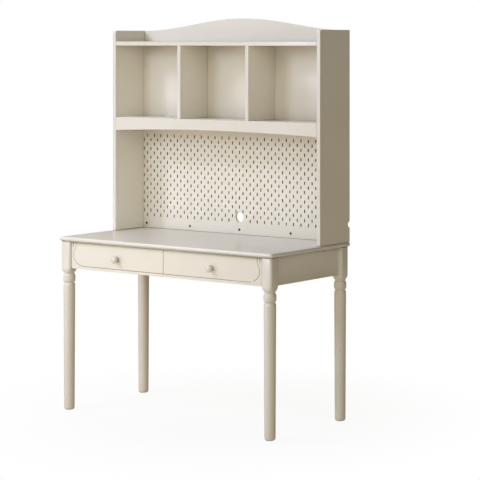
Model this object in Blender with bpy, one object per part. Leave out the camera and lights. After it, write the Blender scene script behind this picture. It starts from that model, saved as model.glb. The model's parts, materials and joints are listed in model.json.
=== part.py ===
"""Writing desk with two drawers and a fixed pegboard hutch, in metres, +Z up.

The origin is on the floor, at the middle of the footprint. +X is the user's right,
-Y is the side that the user sits at, and "depth" below is the distance behind the
desktop's front edge. Each named object is one physical piece of the furniture.
"""

import math

import bmesh
import bpy
from mathutils import Matrix, Vector

# Overall sizes
DESK_WIDTH = 1.180
DESK_DEPTH = 0.540
DESK_HEIGHT = 0.750
HUTCH_WIDTH = 1.164
HUTCH_DEPTH = 0.208
HUTCH_TOP = 1.645
BOARD = 0.018
GAP = 0.0003

# Desktop: a bullnose bead over a small set-back step
DESKTOP_THICK = 0.020
BEAD_RADIUS = 0.0085
STEP_INSET = 0.005
DESKTOP_CORNER = 0.014

# Turned legs under square blocks
LEG_BLOCK = 0.052
LEG_BLOCK_CORNER = 0.012
LEG_INSET = 0.034
BLOCK_BOTTOM = 0.614
FOOT_RADIUS = 0.0224
SHAFT_TOP_RADIUS = 0.0250
SHAFT_TOP = 0.5370
NECK_RADIUS = 0.0206
GROOVE_BOTTOM = 0.5500
GROOVE_TOP = 0.5530
LEG_BEAD_RADIUS = 0.0262
LEG_BEAD_MIDDLE = 0.5710
NECK_BOTTOM = 0.5885
NECK_TOP = 0.5915
APRON_THICK = 0.020
APRON_BOTTOM = 0.615
APRON_INSET = 0.019

# Front frame and drawers
FACE_DEPTH = 0.019
RAIL_HEIGHT = 0.012
STILE_WIDTH = 0.016
REVEAL = 0.0015
END_CURVE_WIDTH = 0.058
END_CURVE_DROP = 0.045
END_CURVE_RISE = 0.050
SHOULDER_IN = 0.013
SHOULDER_HEIGHT = 0.708
SLIT_WIDTH = 0.002
SLIT_DROP = 0.023
DRAWER_TOP_GAP = 0.0015
BOX_OUTER = 0.490
BOX_INNER = 0.022
BOX_BOTTOM = 0.638
BOX_TOP = 0.712
BOX_LENGTH = 0.390
BOX_WALL = 0.012
PANEL_THICK = 0.005
PANEL_RISE = 0.008
GROOVE_DEPTH = 0.005
KNOB_CENTRE_X = 0.262
KNOB_CENTRE_Z = 0.670
KNOB_LENGTH = 0.026
KNOB_RADIUS = 0.0150
KNOB_BASE_RADIUS = 0.0090
KNOB_NECK_RADIUS = 0.0054
KNOB_SIDES = 32
SCREW_HOLE = 0.0023

# Drawer slides
SLIDE_LENGTH = 0.380
SLIDE_SETBACK = 0.005
SLIDE_CENTRE_Z = 0.672
SLIDE_DEPTH = 0.0095
SLIDE_METAL = 0.0015
OUTER_SLIDE_HEIGHT = 0.040
INNER_SLIDE_HEIGHT = 0.031
PACKER_HEIGHT = 0.056
CORNER_BLOCK = 0.036
CORNER_CHAMFER = 0.016
FRONT_BLOCK = 0.025

# Hutch
TOP_BOARD_TOP = 1.596
SHELF_TOP = 1.2585
SHELF_RAIL_HEIGHT = 0.059
SHELF_RAIL_ARCH = 0.0125
SIDE_CORNER = 0.012
CREST_RISE = 0.052
CREST_HALF_SPAN = 0.540
CREST_FULLNESS = 0.9
BACK_THICK = 0.012
BACK_INSET = 0.0244
BACK_GROOVE = 0.0058
NOTCH_RADIUS = 0.0125
NOTCH_Z = 0.825
CLEAT_HEIGHT = 0.040

# Pegboard pattern
PITCH = 0.040
SLOT_WIDTH = 0.005
SLOT_LENGTH = 0.015
SLOT_COLUMNS = 29
SLOT_ROWS = 19
LOWEST_SLOT_Z = 0.810
CABLE_HOLE_RADIUS = 0.023
CABLE_HOLE_Z = 0.826
PEG_SCREW_X = (-0.545, -0.285, 0.0, 0.285, 0.545)
PEG_SCREW_Z = 0.771
HUTCH_SCREW_DEPTHS = (0.372, 0.452)

# Worked out from the sizes above
KNOB_REACH = KNOB_LENGTH - FACE_DEPTH
FRONT_Y = (KNOB_REACH - DESK_DEPTH) / 2
UNDERSIDE = DESK_HEIGHT - DESKTOP_THICK
LEG_X = DESK_WIDTH / 2 - LEG_INSET
LEG_INNER_X = LEG_X - LEG_BLOCK / 2
FRONT_LEG_BACK = LEG_INSET + LEG_BLOCK / 2
BACK_LEG_FRONT = DESK_DEPTH - LEG_INSET - LEG_BLOCK / 2
APRON_INNER_X = LEG_X + LEG_BLOCK / 2 - APRON_INSET - APRON_THICK
APRON_INNER_DEPTH = DESK_DEPTH - LEG_INSET + LEG_BLOCK / 2 - APRON_INSET - APRON_THICK
FRAME_BACK = FACE_DEPTH + BOARD
DRAWER_BOTTOM = APRON_BOTTOM + RAIL_HEIGHT + REVEAL
DRAWER_END = LEG_INNER_X - STILE_WIDTH
INNER_HALF = HUTCH_WIDTH / 2 - BOARD
HUTCH_FRONT = DESK_DEPTH - HUTCH_DEPTH
BACK_FACE = DESK_DEPTH - BACK_INSET
BACK_HALF = INNER_HALF + BACK_GROOVE - GAP
BAY = (2 * INNER_HALF - 2 * BOARD) / 3
SIDES = (("left", -1), ("right", 1))


def depth_y(depth):
    """World Y of a distance behind the desktop's front edge."""
    return FRONT_Y + depth


# Materials ---------------------------------------------------------------------------


def material(name, colour, roughness, metallic=0.0):
    made = bpy.data.materials.new(name)
    made.use_nodes = True
    shader = made.node_tree.nodes["Principled BSDF"]
    shader.inputs["Base Color"].default_value = (*colour, 1.0)
    shader.inputs["Roughness"].default_value = roughness
    shader.inputs["Metallic"].default_value = metallic
    return made


def make_materials():
    return {
        "lacquer": material("cream_lacquer", (0.80, 0.76, 0.66), 0.38),
        "drawer_box": material("drawer_box_lacquer", (0.78, 0.74, 0.65), 0.50),
        "plywood": material("birch_plywood", (0.72, 0.58, 0.40), 0.60),
        "pine": material("pine_block", (0.70, 0.54, 0.34), 0.65),
        "zinc": material("zinc_plated_steel", (0.62, 0.63, 0.65), 0.32, 1.0),
        "black": material("black_screw_finish", (0.03, 0.03, 0.03), 0.35, 0.6),
    }


# Mesh builders -----------------------------------------------------------------------


def add_object(name, mesh_data, location, finish, smooth=False):
    """An object from a finished bmesh, with sharp edges kept where it is smooth."""
    bmesh.ops.recalc_face_normals(mesh_data, faces=mesh_data.faces)
    mesh = bpy.data.meshes.new(name)
    mesh_data.to_mesh(mesh)
    mesh_data.free()
    if smooth:
        mesh.polygons.foreach_set("use_smooth", [True] * len(mesh.polygons))
        mesh.set_sharp_from_angle(angle=math.radians(35))
    mesh.materials.append(finish)
    made = bpy.data.objects.new(name, mesh)
    made.location = location
    bpy.context.scene.collection.objects.link(made)
    return made


def board(name, x, y, z, finish):
    """A rectangular board between pairs of X, Y and Z limits, with its origin in the middle."""
    low = Vector((min(x), min(y), min(z)))
    high = Vector((max(x), max(y), max(z)))
    mesh_data = bmesh.new()
    bmesh.ops.create_cube(mesh_data, size=1.0)
    bmesh.ops.scale(mesh_data, vec=high - low, verts=mesh_data.verts)
    return add_object(name, mesh_data, (low + high) / 2, finish)


def closed_loop(mesh_data, points):
    corners = [mesh_data.verts.new(point) for point in points]
    ends = corners[1:] + corners[:1]
    return [mesh_data.edges.new(pair) for pair in zip(corners, ends)]


def prism(name, outline, plane, start, thickness, finish, holes=(), smooth=False):
    """A flat outline pushed along the axis that its plane leaves out, with any holes."""
    placed = {
        "xz": lambda a, b: (a, 0.0, b),
        "yz": lambda a, b: (0.0, a, b),
        "xy": lambda a, b: (a, b, 0.0),
    }[plane]
    push = {"xz": (0, 1, 0), "yz": (1, 0, 0), "xy": (0, 0, 1)}[plane]
    mesh_data = bmesh.new()
    edges = closed_loop(mesh_data, [placed(*point) for point in outline])
    for hole in holes:
        edges += closed_loop(mesh_data, [placed(*point) for point in hole])
    if holes:
        bmesh.ops.triangle_fill(mesh_data, edges=edges, use_beauty=True)
    else:
        mesh_data.faces.new(mesh_data.verts)
    grown = bmesh.ops.extrude_face_region(mesh_data, geom=mesh_data.faces[:])
    moved = [item for item in grown["geom"] if isinstance(item, bmesh.types.BMVert)]
    bmesh.ops.translate(mesh_data, verts=moved, vec=Vector(push) * thickness)
    return add_object(name, mesh_data, Vector(push) * start, finish, smooth)


def loft(name, rings, location, finish, turn=None):
    """A closed skin over rings of equal point count, capped at the first and the last."""
    mesh_data = bmesh.new()
    rows = [[mesh_data.verts.new(point) for point in ring] for ring in rings]
    for lower, upper in zip(rows, rows[1:]):
        count = len(lower)
        for k in range(count):
            after = (k + 1) % count
            mesh_data.faces.new((lower[k], lower[after], upper[after], upper[k]))
    mesh_data.faces.new(rows[0])
    mesh_data.faces.new(rows[-1])
    if turn is not None:
        bmesh.ops.transform(mesh_data, matrix=turn, verts=mesh_data.verts)
    return add_object(name, mesh_data, location, finish, smooth=True)


def circle(radius, count=16, centre=(0.0, 0.0)):
    angles = [math.tau * (k + 0.5) / count for k in range(count)]
    return [
        (centre[0] + radius * math.cos(a), centre[1] + radius * math.sin(a))
        for a in angles
    ]


def rounded_rectangle(half_x, half_y, corner, steps):
    """Points round a rectangle with rounded corners, which is a circle when all three agree."""
    points = []
    for quarter, (sx, sy) in enumerate(((1, 1), (-1, 1), (-1, -1), (1, -1))):
        for k in range(steps):
            angle = math.pi / 2 * (quarter + (k + 0.5) / steps)
            x = sx * (half_x - corner) + corner * math.cos(angle)
            y = sy * (half_y - corner) + corner * math.sin(angle)
            points.append((x, y))
    return points


def turned(name, profile, location, finish, turn=None, count=16):
    """A turned piece from (radius, height) pairs along +Z."""
    rings = [[(x, y, z) for x, y in circle(r, count)] for r, z in profile]
    return loft(name, rings, location, finish, turn)


def cut(target, cutters):
    """Takes each cutter out of the target with an exact Boolean."""
    for cutter in cutters:
        cutter.hide_render = True
        cutter.display_type = "WIRE"
        taken = target.modifiers.new("cut_" + cutter.name, "BOOLEAN")
        taken.operation = "DIFFERENCE"
        taken.solver = "EXACT"
        taken.object = cutter


# Desk --------------------------------------------------------------------------------


def make_desktop(finish):
    """A slab with a half-round bead on every side, over a step set back under it."""
    bead_centre = DESK_HEIGHT - BEAD_RADIUS
    levels = [(STEP_INSET, UNDERSIDE), (STEP_INSET, bead_centre - BEAD_RADIUS)]
    for k in range(9):
        angle = math.pi * (k / 8 - 0.5)
        inset = BEAD_RADIUS * (1 - math.cos(angle))
        levels.append((inset, bead_centre + BEAD_RADIUS * math.sin(angle)))
    rings = []
    for inset, z in levels:
        half_x = DESK_WIDTH / 2 - inset
        half_y = DESK_DEPTH / 2 - inset
        ring = rounded_rectangle(half_x, half_y, DESKTOP_CORNER - inset, 5)
        rings.append([(x, y, z) for x, y in ring])
    middle = (0.0, depth_y(DESK_DEPTH / 2), 0.0)
    desktop = loft("desktop", rings, middle, finish)
    cutters = [
        turned(
            f"desktop_screw_hole_{side}_{number}",
            [(0.0034, UNDERSIDE - 0.01), (0.0034, DESK_HEIGHT + 0.01)],
            (sign * (HUTCH_WIDTH - BOARD) / 2, depth_y(depth), 0.0),
            finish,
        )
        for side, sign in SIDES
        for number, depth in enumerate(HUTCH_SCREW_DEPTHS, 1)
    ]
    cut(desktop, cutters)


def leg_levels():
    """(half width, corner radius, z) from the floor up: foot, taper, bead and square block."""
    levels = [(FOOT_RADIUS - 0.0074, 0.0), (FOOT_RADIUS - 0.0039, 0.0008)]
    levels += [(FOOT_RADIUS - 0.0012, 0.0036), (FOOT_RADIUS, 0.0080)]
    levels += [(SHAFT_TOP_RADIUS, SHAFT_TOP), (SHAFT_TOP_RADIUS - 0.0007, SHAFT_TOP + 0.0060)]
    levels += [(SHAFT_TOP_RADIUS - 0.0025, SHAFT_TOP + 0.0105), (NECK_RADIUS, GROOVE_BOTTOM)]
    levels.append((NECK_RADIUS, GROOVE_TOP))
    bead_foot = NECK_RADIUS + 0.0016
    bead_half = NECK_BOTTOM - LEG_BEAD_MIDDLE - 0.0020
    for k in range(7):
        angle = math.pi * (k / 6 - 0.5)
        radius = bead_foot + (LEG_BEAD_RADIUS - bead_foot) * math.cos(angle)
        levels.append((radius, LEG_BEAD_MIDDLE + bead_half * math.sin(angle)))
    levels += [(NECK_RADIUS, NECK_BOTTOM), (NECK_RADIUS, NECK_TOP)]
    rings = [(radius, radius, z) for radius, z in levels]
    shoulder_foot = NECK_RADIUS + 0.0009
    shoulder_z = NECK_TOP + 0.0015
    half = LEG_BLOCK / 2
    for share in (0.35, 0.65, 0.88, 1.0):
        reach = math.sin(share * math.pi / 2)
        width = shoulder_foot + (half - shoulder_foot) * reach
        corner = shoulder_foot + (LEG_BLOCK_CORNER - shoulder_foot) * reach
        rings.append((width, corner, shoulder_z + (BLOCK_BOTTOM - shoulder_z) * share))
    rings.append((half, LEG_BLOCK_CORNER, UNDERSIDE - GAP))
    return rings


def make_legs(finish):
    rings = [
        [(x, y, z) for x, y in rounded_rectangle(half, half, corner, 6)]
        for half, corner, z in leg_levels()
    ]
    for side, sign in SIDES:
        for end, depth in (("front", LEG_INSET), ("back", DESK_DEPTH - LEG_INSET)):
            place = (sign * LEG_X, depth_y(depth), 0.0)
            loft(f"leg_{end}_{side}", rings, place, finish)


def make_aprons(finish):
    """Boards between the legs, with their outer faces set in from the leg blocks' outer faces."""
    z = (APRON_BOTTOM, UNDERSIDE - GAP)
    along = (depth_y(FRONT_LEG_BACK + GAP), depth_y(BACK_LEG_FRONT - GAP))
    for side, sign in SIDES:
        x = (sign * APRON_INNER_X, sign * (APRON_INNER_X + APRON_THICK))
        board(f"apron_{side}", x, along, z, finish)
    across = (-LEG_INNER_X + GAP, LEG_INNER_X - GAP)
    y = (depth_y(APRON_INNER_DEPTH), depth_y(APRON_INNER_DEPTH + APRON_THICK))
    board("apron_back", across, y, z, finish)


def end_curve(grow, steps=7):
    """The drawer's rounded outer end, from its foot up to the shoulder, grown all round."""
    middle_x = DRAWER_END - END_CURVE_WIDTH
    middle_z = DRAWER_BOTTOM + END_CURVE_DROP
    width = END_CURVE_WIDTH + grow
    points = []
    for k in range(steps + 1):
        angle = -math.pi / 2 * (1 - k / steps)
        across = middle_x + width * math.cos(angle)
        points.append((across, middle_z + (END_CURVE_DROP + grow) * math.sin(angle)))
    shoulder_x = DRAWER_END - SHOULDER_IN + grow
    last = math.acos((shoulder_x - middle_x) / width)
    rise = (SHOULDER_HEIGHT - middle_z) / math.sin(last)
    for k in range(1, steps + 1):
        angle = last * k / steps
        points.append((middle_x + width * math.cos(angle), middle_z + rise * math.sin(angle)))
    return points


def mirrored(points, sign):
    return [(sign * x, z) for x, z in points]


def make_front_frame(finish):
    """Two halves that meet under the drawers: a low rail, and a stile cut to the drawer's end."""
    top = UNDERSIDE - GAP
    outer = LEG_INNER_X - GAP
    rail_top = APRON_BOTTOM + RAIL_HEIGHT
    slit_x = DRAWER_END + REVEAL
    shoulder_x = DRAWER_END - SHOULDER_IN + REVEAL
    outline = [(GAP, rail_top), (GAP, APRON_BOTTOM), (outer, APRON_BOTTOM), (outer, top)]
    outline += [(slit_x + SLIT_WIDTH, top), (slit_x + SLIT_WIDTH, top - SLIT_DROP)]
    outline += [(slit_x, top - SLIT_DROP), (slit_x, top), (shoulder_x, top)]
    outline += reversed(end_curve(REVEAL))
    for side, sign in SIDES:
        points = mirrored(outline, sign)
        prism(f"front_frame_{side}", points, "xz", depth_y(FACE_DEPTH), BOARD, finish)


def make_inner_frame(finishes):
    """What carries the drawers inside: a centre partition, slide packers and corner blocks."""
    top = UNDERSIDE - GAP
    behind_frame = depth_y(FRAME_BACK + GAP)
    before_leg = depth_y(BACK_LEG_FRONT - GAP)
    before_apron = depth_y(APRON_INNER_DEPTH - GAP)
    half = BOARD / 2
    partition_z = (BOX_BOTTOM - 0.008, top)
    board(
        "centre_partition",
        (-half, half),
        (behind_frame, before_apron),
        partition_z,
        finishes["drawer_box"],
    )
    packer_z = (SLIDE_CENTRE_Z - PACKER_HEIGHT / 2, SLIDE_CENTRE_Z + PACKER_HEIGHT / 2)
    for side, sign in SIDES:
        leg_face = sign * (LEG_INNER_X - GAP)
        apron_face = sign * (APRON_INNER_X - GAP)
        packer_y = (depth_y(FRONT_LEG_BACK + GAP), before_leg - CORNER_BLOCK - GAP)
        packer_x = (sign * (BOX_OUTER + 0.0133), apron_face)
        board(f"slide_packer_{side}", packer_x, packer_y, packer_z, finishes["pine"])
        front_x = (sign * (LEG_INNER_X - FRONT_BLOCK), leg_face)
        front_y = (behind_frame, depth_y(FRONT_LEG_BACK) - GAP)
        front_z = (BOX_BOTTOM, top)
        board(f"corner_block_front_{side}", front_x, front_y, front_z, finishes["pine"])
        inner = sign * (LEG_INNER_X - CORNER_BLOCK)
        near = before_leg - CORNER_BLOCK
        outline = [(apron_face, near), (apron_face, before_leg), (inner, before_leg)]
        outline.append((inner, before_leg - CORNER_CHAMFER))
        outline.append((apron_face - sign * CORNER_CHAMFER, near))
        height = top - BOX_BOTTOM
        name = f"corner_block_back_{side}"
        prism(name, outline, "xy", BOX_BOTTOM, height, finishes["pine"])


# Drawers -----------------------------------------------------------------------------


def ride_with(parent, piece):
    """Parents a piece to the drawer's empty and leaves it where it is in the world."""
    piece.parent = parent
    piece.location = piece.location - parent.location


def drawer_front(side, sign, finish):
    seam = 0.001
    top = UNDERSIDE - DRAWER_TOP_GAP
    outline = [(seam, top), (seam, DRAWER_BOTTOM)]
    outline += end_curve(0.0)
    outline.append((DRAWER_END - SHOULDER_IN, top))
    bore = circle(SCREW_HOLE, 12, (KNOB_CENTRE_X, KNOB_CENTRE_Z))
    return prism(
        f"drawer_{side}_front",
        mirrored(outline, sign),
        "xz",
        depth_y(FACE_DEPTH),
        BOARD,
        finish,
        holes=[mirrored(bore, sign)],
    )


def drawer_side(name, face_x, inward, finish):
    """A side board with a groove for the bottom panel on its inner face."""
    wall = face_x + inward * BOX_WALL
    groove = wall - inward * GROOVE_DEPTH
    low = BOX_BOTTOM + PANEL_RISE - GAP
    high = low + PANEL_THICK + 2 * GAP
    outline = [(face_x, BOX_BOTTOM), (wall, BOX_BOTTOM), (wall, low), (groove, low)]
    outline += [(groove, high), (wall, high), (wall, BOX_TOP), (face_x, BOX_TOP)]
    start = depth_y(FRAME_BACK + GAP)
    return prism(name, outline, "xz", start, BOX_LENGTH, finish)


def drawer_box(side, sign, finishes):
    near = FRAME_BACK + GAP
    far = near + BOX_LENGTH
    inner = sign * BOX_INNER
    outer = sign * BOX_OUTER
    pieces = [
        drawer_side(f"drawer_{side}_side_inner", inner, sign, finishes["drawer_box"]),
        drawer_side(f"drawer_{side}_side_outer", outer, -sign, finishes["drawer_box"]),
    ]
    wall = BOX_WALL + GAP
    across = (inner + sign * wall, outer - sign * wall)
    panel_top = BOX_BOTTOM + PANEL_RISE + PANEL_THICK
    back_y = (depth_y(far - BOX_WALL), depth_y(far))
    back_z = (panel_top + GAP, BOX_TOP)
    pieces.append(board(f"drawer_{side}_back", across, back_y, back_z, finishes["drawer_box"]))
    tongue = sign * (GROOVE_DEPTH - GAP)
    panel_x = (across[0] - tongue, across[1] + tongue)
    panel_y = (depth_y(near), depth_y(far))
    panel_z = (BOX_BOTTOM + PANEL_RISE, panel_top)
    pieces.append(board(f"drawer_{side}_bottom", panel_x, panel_y, panel_z, finishes["plywood"]))
    return pieces


def drawer_knob(side, sign, finishes):
    """A round mushroom knob on a waisted neck, bored for the screw that holds it from inside."""
    towards_user = Matrix.Rotation(math.radians(90), 4, "X")
    profile = [(SCREW_HOLE, 0.0150), (SCREW_HOLE, 0.0), (KNOB_BASE_RADIUS - 0.0005, 0.0)]
    profile += [(KNOB_BASE_RADIUS, 0.0014), (0.0070, 0.0034), (0.0057, 0.0062)]
    profile += [(KNOB_NECK_RADIUS, 0.0090), (0.0074, 0.0117), (0.0116, 0.0137)]
    profile += [(0.0143, 0.0158), (KNOB_RADIUS, 0.0182), (0.0144, 0.0206)]
    profile += [(0.0123, 0.0229), (0.0088, 0.0247), (0.0045, 0.0256)]
    profile.append((0.0012, KNOB_LENGTH - GAP))
    place = (sign * KNOB_CENTRE_X, depth_y(FACE_DEPTH) - GAP, KNOB_CENTRE_Z)
    knob = turned(
        f"drawer_{side}_knob", profile, place, finishes["lacquer"], towards_user, KNOB_SIDES
    )
    shank = 0.0020
    screw_profile = [(0.0012, 0.0310), (shank, 0.0295), (shank, 0.0), (0.0042, 0.0)]
    screw_profile += [(0.0042, -0.0012), (0.0030, -0.0024), (0.0012, -0.0028)]
    behind = (sign * KNOB_CENTRE_X, depth_y(FRAME_BACK) + GAP, KNOB_CENTRE_Z)
    screw = turned(
        f"drawer_{side}_knob_screw", screw_profile, behind, finishes["zinc"], towards_user, 12
    )
    return [knob, screw]


def channel(name, web_x, opens, height, finish):
    """A C-section of folded steel along Y, with its web on web_x and its lips pointing one way."""
    half = height / 2
    middle = SLIDE_CENTRE_Z
    inner = web_x + opens * SLIDE_METAL
    lip = web_x + opens * SLIDE_DEPTH
    outline = [(web_x, middle - half), (lip, middle - half)]
    outline += [(lip, middle - half + SLIDE_METAL), (inner, middle - half + SLIDE_METAL)]
    outline += [(inner, middle + half - SLIDE_METAL), (lip, middle + half - SLIDE_METAL)]
    outline += [(lip, middle + half), (web_x, middle + half)]
    start = depth_y(FRAME_BACK + SLIDE_SETBACK)
    return prism(name, outline, "xz", start, SLIDE_LENGTH, finish)


def drawer_slides(side, sign, finish):
    """Each slide is a fixed channel on the frame and a narrower one on the drawer inside it."""
    moving = []
    faces = (("inner", BOX_INNER, -1, BOARD / 2), ("outer", BOX_OUTER, 1, BOX_OUTER + 0.013))
    for where, box_x, outward, frame_x in faces:
        fixed_web = sign * (frame_x - outward * GAP)
        fixed_name = f"slide_{side}_{where}_fixed"
        channel(fixed_name, fixed_web, -sign * outward, OUTER_SLIDE_HEIGHT, finish)
        moving_web = sign * (box_x + outward * GAP)
        moving_name = f"slide_{side}_{where}_moving"
        moving.append(
            channel(moving_name, moving_web, sign * outward, INNER_SLIDE_HEIGHT, finish)
        )
    return moving


def make_drawers(finishes):
    for side, sign in SIDES:
        carrier = bpy.data.objects.new(f"drawer_{side}", None)
        carrier.location = (sign * KNOB_CENTRE_X, depth_y(FRAME_BACK), SLIDE_CENTRE_Z)
        bpy.context.scene.collection.objects.link(carrier)
        pieces = [drawer_front(side, sign, finishes["lacquer"])]
        pieces += drawer_box(side, sign, finishes)
        pieces += drawer_knob(side, sign, finishes)
        pieces += drawer_slides(side, sign, finishes["zinc"])
        for piece in pieces:
            ride_with(carrier, piece)


# Hutch -------------------------------------------------------------------------------


def side_outline():
    """The side panel seen from the side: a rounded top front corner and a cable notch behind."""
    front = depth_y(HUTCH_FRONT)
    back = depth_y(DESK_DEPTH)
    low = DESK_HEIGHT + GAP
    points = [(front, low), (back, low)]
    for k in range(9):
        angle = math.pi * (k / 8)
        across = back - NOTCH_RADIUS * math.sin(angle)
        points.append((across, NOTCH_Z - NOTCH_RADIUS * math.cos(angle)))
    points.append((back, HUTCH_TOP))
    for k in range(7):
        angle = math.pi / 2 * (1 + k / 6)
        across = front + SIDE_CORNER + SIDE_CORNER * math.cos(angle)
        points.append((across, HUTCH_TOP - SIDE_CORNER + SIDE_CORNER * math.sin(angle)))
    return points


def make_hutch_sides(finish):
    """Side panels, grooved for the back and drilled from below for the fixing screws."""
    groove_y = (depth_y(BACK_FACE) - GAP, depth_y(BACK_FACE + BACK_THICK) + GAP)
    groove_z = (DESK_HEIGHT - 0.005, TOP_BOARD_TOP - BOARD + GAP)
    for side, sign in SIDES:
        inner = sign * INNER_HALF
        start = min(inner, inner + sign * BOARD)
        panel = prism(f"hutch_side_{side}", side_outline(), "yz", start, BOARD, finish)
        groove_x = (inner - sign * 0.004, inner + sign * BACK_GROOVE)
        cutters = [board(f"back_groove_{side}", groove_x, groove_y, groove_z, finish)]
        for number, depth in enumerate(HUTCH_SCREW_DEPTHS, 1):
            place = (inner + sign * BOARD / 2, depth_y(depth), DESK_HEIGHT)
            bore = [(0.0034, -0.005), (0.0034, 0.042)]
            cutters.append(turned(f"side_bore_{side}_{number}", bore, place, finish))
        cut(panel, cutters)


def make_hutch_boards(finish):
    inner = INNER_HALF - GAP
    front = depth_y(HUTCH_FRONT)
    back_stop = depth_y(BACK_FACE) - GAP
    top_z = (TOP_BOARD_TOP - BOARD, TOP_BOARD_TOP)
    board("hutch_top_board", (-inner, inner), (front, depth_y(DESK_DEPTH)), top_z, finish)
    shelf_z = (SHELF_TOP - BOARD, SHELF_TOP)
    shelf_y = (front + BOARD + GAP, back_stop)
    board("hutch_shelf", (-inner, inner), shelf_y, shelf_z, finish)
    divider_z = (SHELF_TOP + GAP, top_z[0] - GAP)
    for side, sign in SIDES:
        divider_x = (sign * BAY / 2, sign * (BAY / 2 + BOARD))
        board(f"divider_{side}", divider_x, (front, back_stop), divider_z, finish)


def make_shelf_rail(finish):
    """The rail in front of the shelf, whose lower edge is a shallow arch."""
    inner = INNER_HALF - GAP
    foot = SHELF_TOP - SHELF_RAIL_HEIGHT
    outline = [(inner, SHELF_TOP), (-inner, SHELF_TOP)]
    for k in range(25):
        across = k / 12 - 1
        outline.append((across * inner, foot + SHELF_RAIL_ARCH * (1 - across * across)))
    prism("hutch_shelf_rail", outline, "xz", depth_y(HUTCH_FRONT), BOARD, finish)


def crest_height(x):
    """The crest's outline: a low bell that runs out flat towards the side panels."""
    share = min(abs(x) / CREST_HALF_SPAN, 1.0)
    bell = (0.5 + 0.5 * math.cos(math.pi * share)) ** CREST_FULLNESS
    return HUTCH_TOP + CREST_RISE * bell


def make_crest(finish):
    inner = INNER_HALF - GAP
    foot = TOP_BOARD_TOP + GAP
    outline = [(-inner, foot), (inner, foot)]
    steps = 48
    for k in range(steps + 1):
        x = inner * (1 - 2 * k / steps)
        outline.append((x, crest_height(x)))
    prism("hutch_crest", outline, "xz", depth_y(DESK_DEPTH) - BOARD, BOARD, finish)


def upright_slot(x, z):
    half_width = SLOT_WIDTH / 2
    half_length = SLOT_LENGTH / 2
    corners = ((-1, -1), (1, -1), (1, 1), (-1, 1))
    return [(x + i * half_width, z + j * half_length) for i, j in corners]


def slot_centres():
    """Staggered slots: odd rows sit half a pitch across, and those at the cable hole are left out."""
    centres = []
    for row in range(SLOT_ROWS):
        z = LOWEST_SLOT_Z + row * PITCH / 2
        columns = SLOT_COLUMNS - 1 if row % 2 == 0 else SLOT_COLUMNS
        for column in range(columns):
            x = PITCH * (column - (columns - 1) / 2)
            near_hole = math.hypot(x, z - CABLE_HOLE_Z) < CABLE_HOLE_RADIUS + 0.003
            if not near_hole:
                centres.append((x, z))
    return centres


def make_back(finish):
    """A pegboard behind the work space and a plain panel behind the cubbies, in one groove."""
    holes = [upright_slot(x, z) for x, z in slot_centres()]
    holes.append(circle(CABLE_HOLE_RADIUS, 28, (0.0, CABLE_HOLE_Z)))
    holes += [circle(SCREW_HOLE, 8, (x, PEG_SCREW_Z)) for x in PEG_SCREW_X]
    low = DESK_HEIGHT + GAP
    joint = SHELF_TOP - BOARD / 2
    high = TOP_BOARD_TOP - BOARD - GAP
    corners = ((-BACK_HALF, low), (BACK_HALF, low))
    outline = [*corners, (BACK_HALF, joint), (-BACK_HALF, joint)]
    face = depth_y(BACK_FACE)
    prism("pegboard_panel", outline, "xz", face, BACK_THICK, finish, holes=holes)
    across = (-BACK_HALF, BACK_HALF)
    board("upper_back_panel", across, (face, face + BACK_THICK), (joint + GAP, high), finish)


def make_cleat(finish):
    """The batten behind the pegboard's foot that its screws go into."""
    inner = INNER_HALF - GAP
    low = DESK_HEIGHT + GAP
    outline = [(-inner, low), (inner, low)]
    outline += [(inner, low + CLEAT_HEIGHT), (-inner, low + CLEAT_HEIGHT)]
    start = BACK_FACE + BACK_THICK + GAP
    holes = [circle(SCREW_HOLE, 8, (x, PEG_SCREW_Z)) for x in PEG_SCREW_X]
    prism("pegboard_cleat", outline, "xz", depth_y(start), DESK_DEPTH - start, finish, holes=holes)


def make_fasteners(finishes):
    """Black pan-head screws through the pegboard, and long screws up into the side panels."""
    away = Matrix.Rotation(math.radians(-90), 4, "X")
    shank = 0.0020
    peg_profile = [(0.0016, -0.0014), (0.0016, -0.0032), (0.0034, -0.0030), (0.0050, -0.0014)]
    peg_profile += [(0.0050, 0.0), (shank, 0.0), (shank, 0.0180), (0.0006, 0.0215)]
    for number, x in enumerate(PEG_SCREW_X, 1):
        place = (x, depth_y(BACK_FACE) - GAP, PEG_SCREW_Z)
        turned(f"pegboard_screw_{number}", peg_profile, place, finishes["black"], away, 12)
    shank = 0.0030
    long_profile = [(0.0022, -0.0020), (0.0022, -0.0042), (0.0050, -0.0040), (0.0065, -0.0018)]
    long_profile += [(0.0065, 0.0), (shank, 0.0), (shank, 0.0520), (0.0008, 0.0580)]
    for side, sign in SIDES:
        for number, depth in enumerate(HUTCH_SCREW_DEPTHS, 1):
            place = (sign * (HUTCH_WIDTH - BOARD) / 2, depth_y(depth), UNDERSIDE - GAP)
            turned(f"hutch_screw_{side}_{number}", long_profile, place, finishes["zinc"])


def main():
    for old in list(bpy.data.objects):
        bpy.data.objects.remove(old)
    finishes = make_materials()
    make_desktop(finishes["lacquer"])
    make_legs(finishes["lacquer"])
    make_aprons(finishes["lacquer"])
    make_front_frame(finishes["lacquer"])
    make_inner_frame(finishes)
    make_drawers(finishes)
    make_hutch_sides(finishes["lacquer"])
    make_hutch_boards(finishes["lacquer"])
    make_shelf_rail(finishes["lacquer"])
    make_crest(finishes["lacquer"])
    make_back(finishes["lacquer"])
    make_cleat(finishes["lacquer"])
    make_fasteners(finishes)


main()
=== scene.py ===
import json
import math

import bmesh
import bpy
from mathutils import Matrix, Vector


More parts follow.
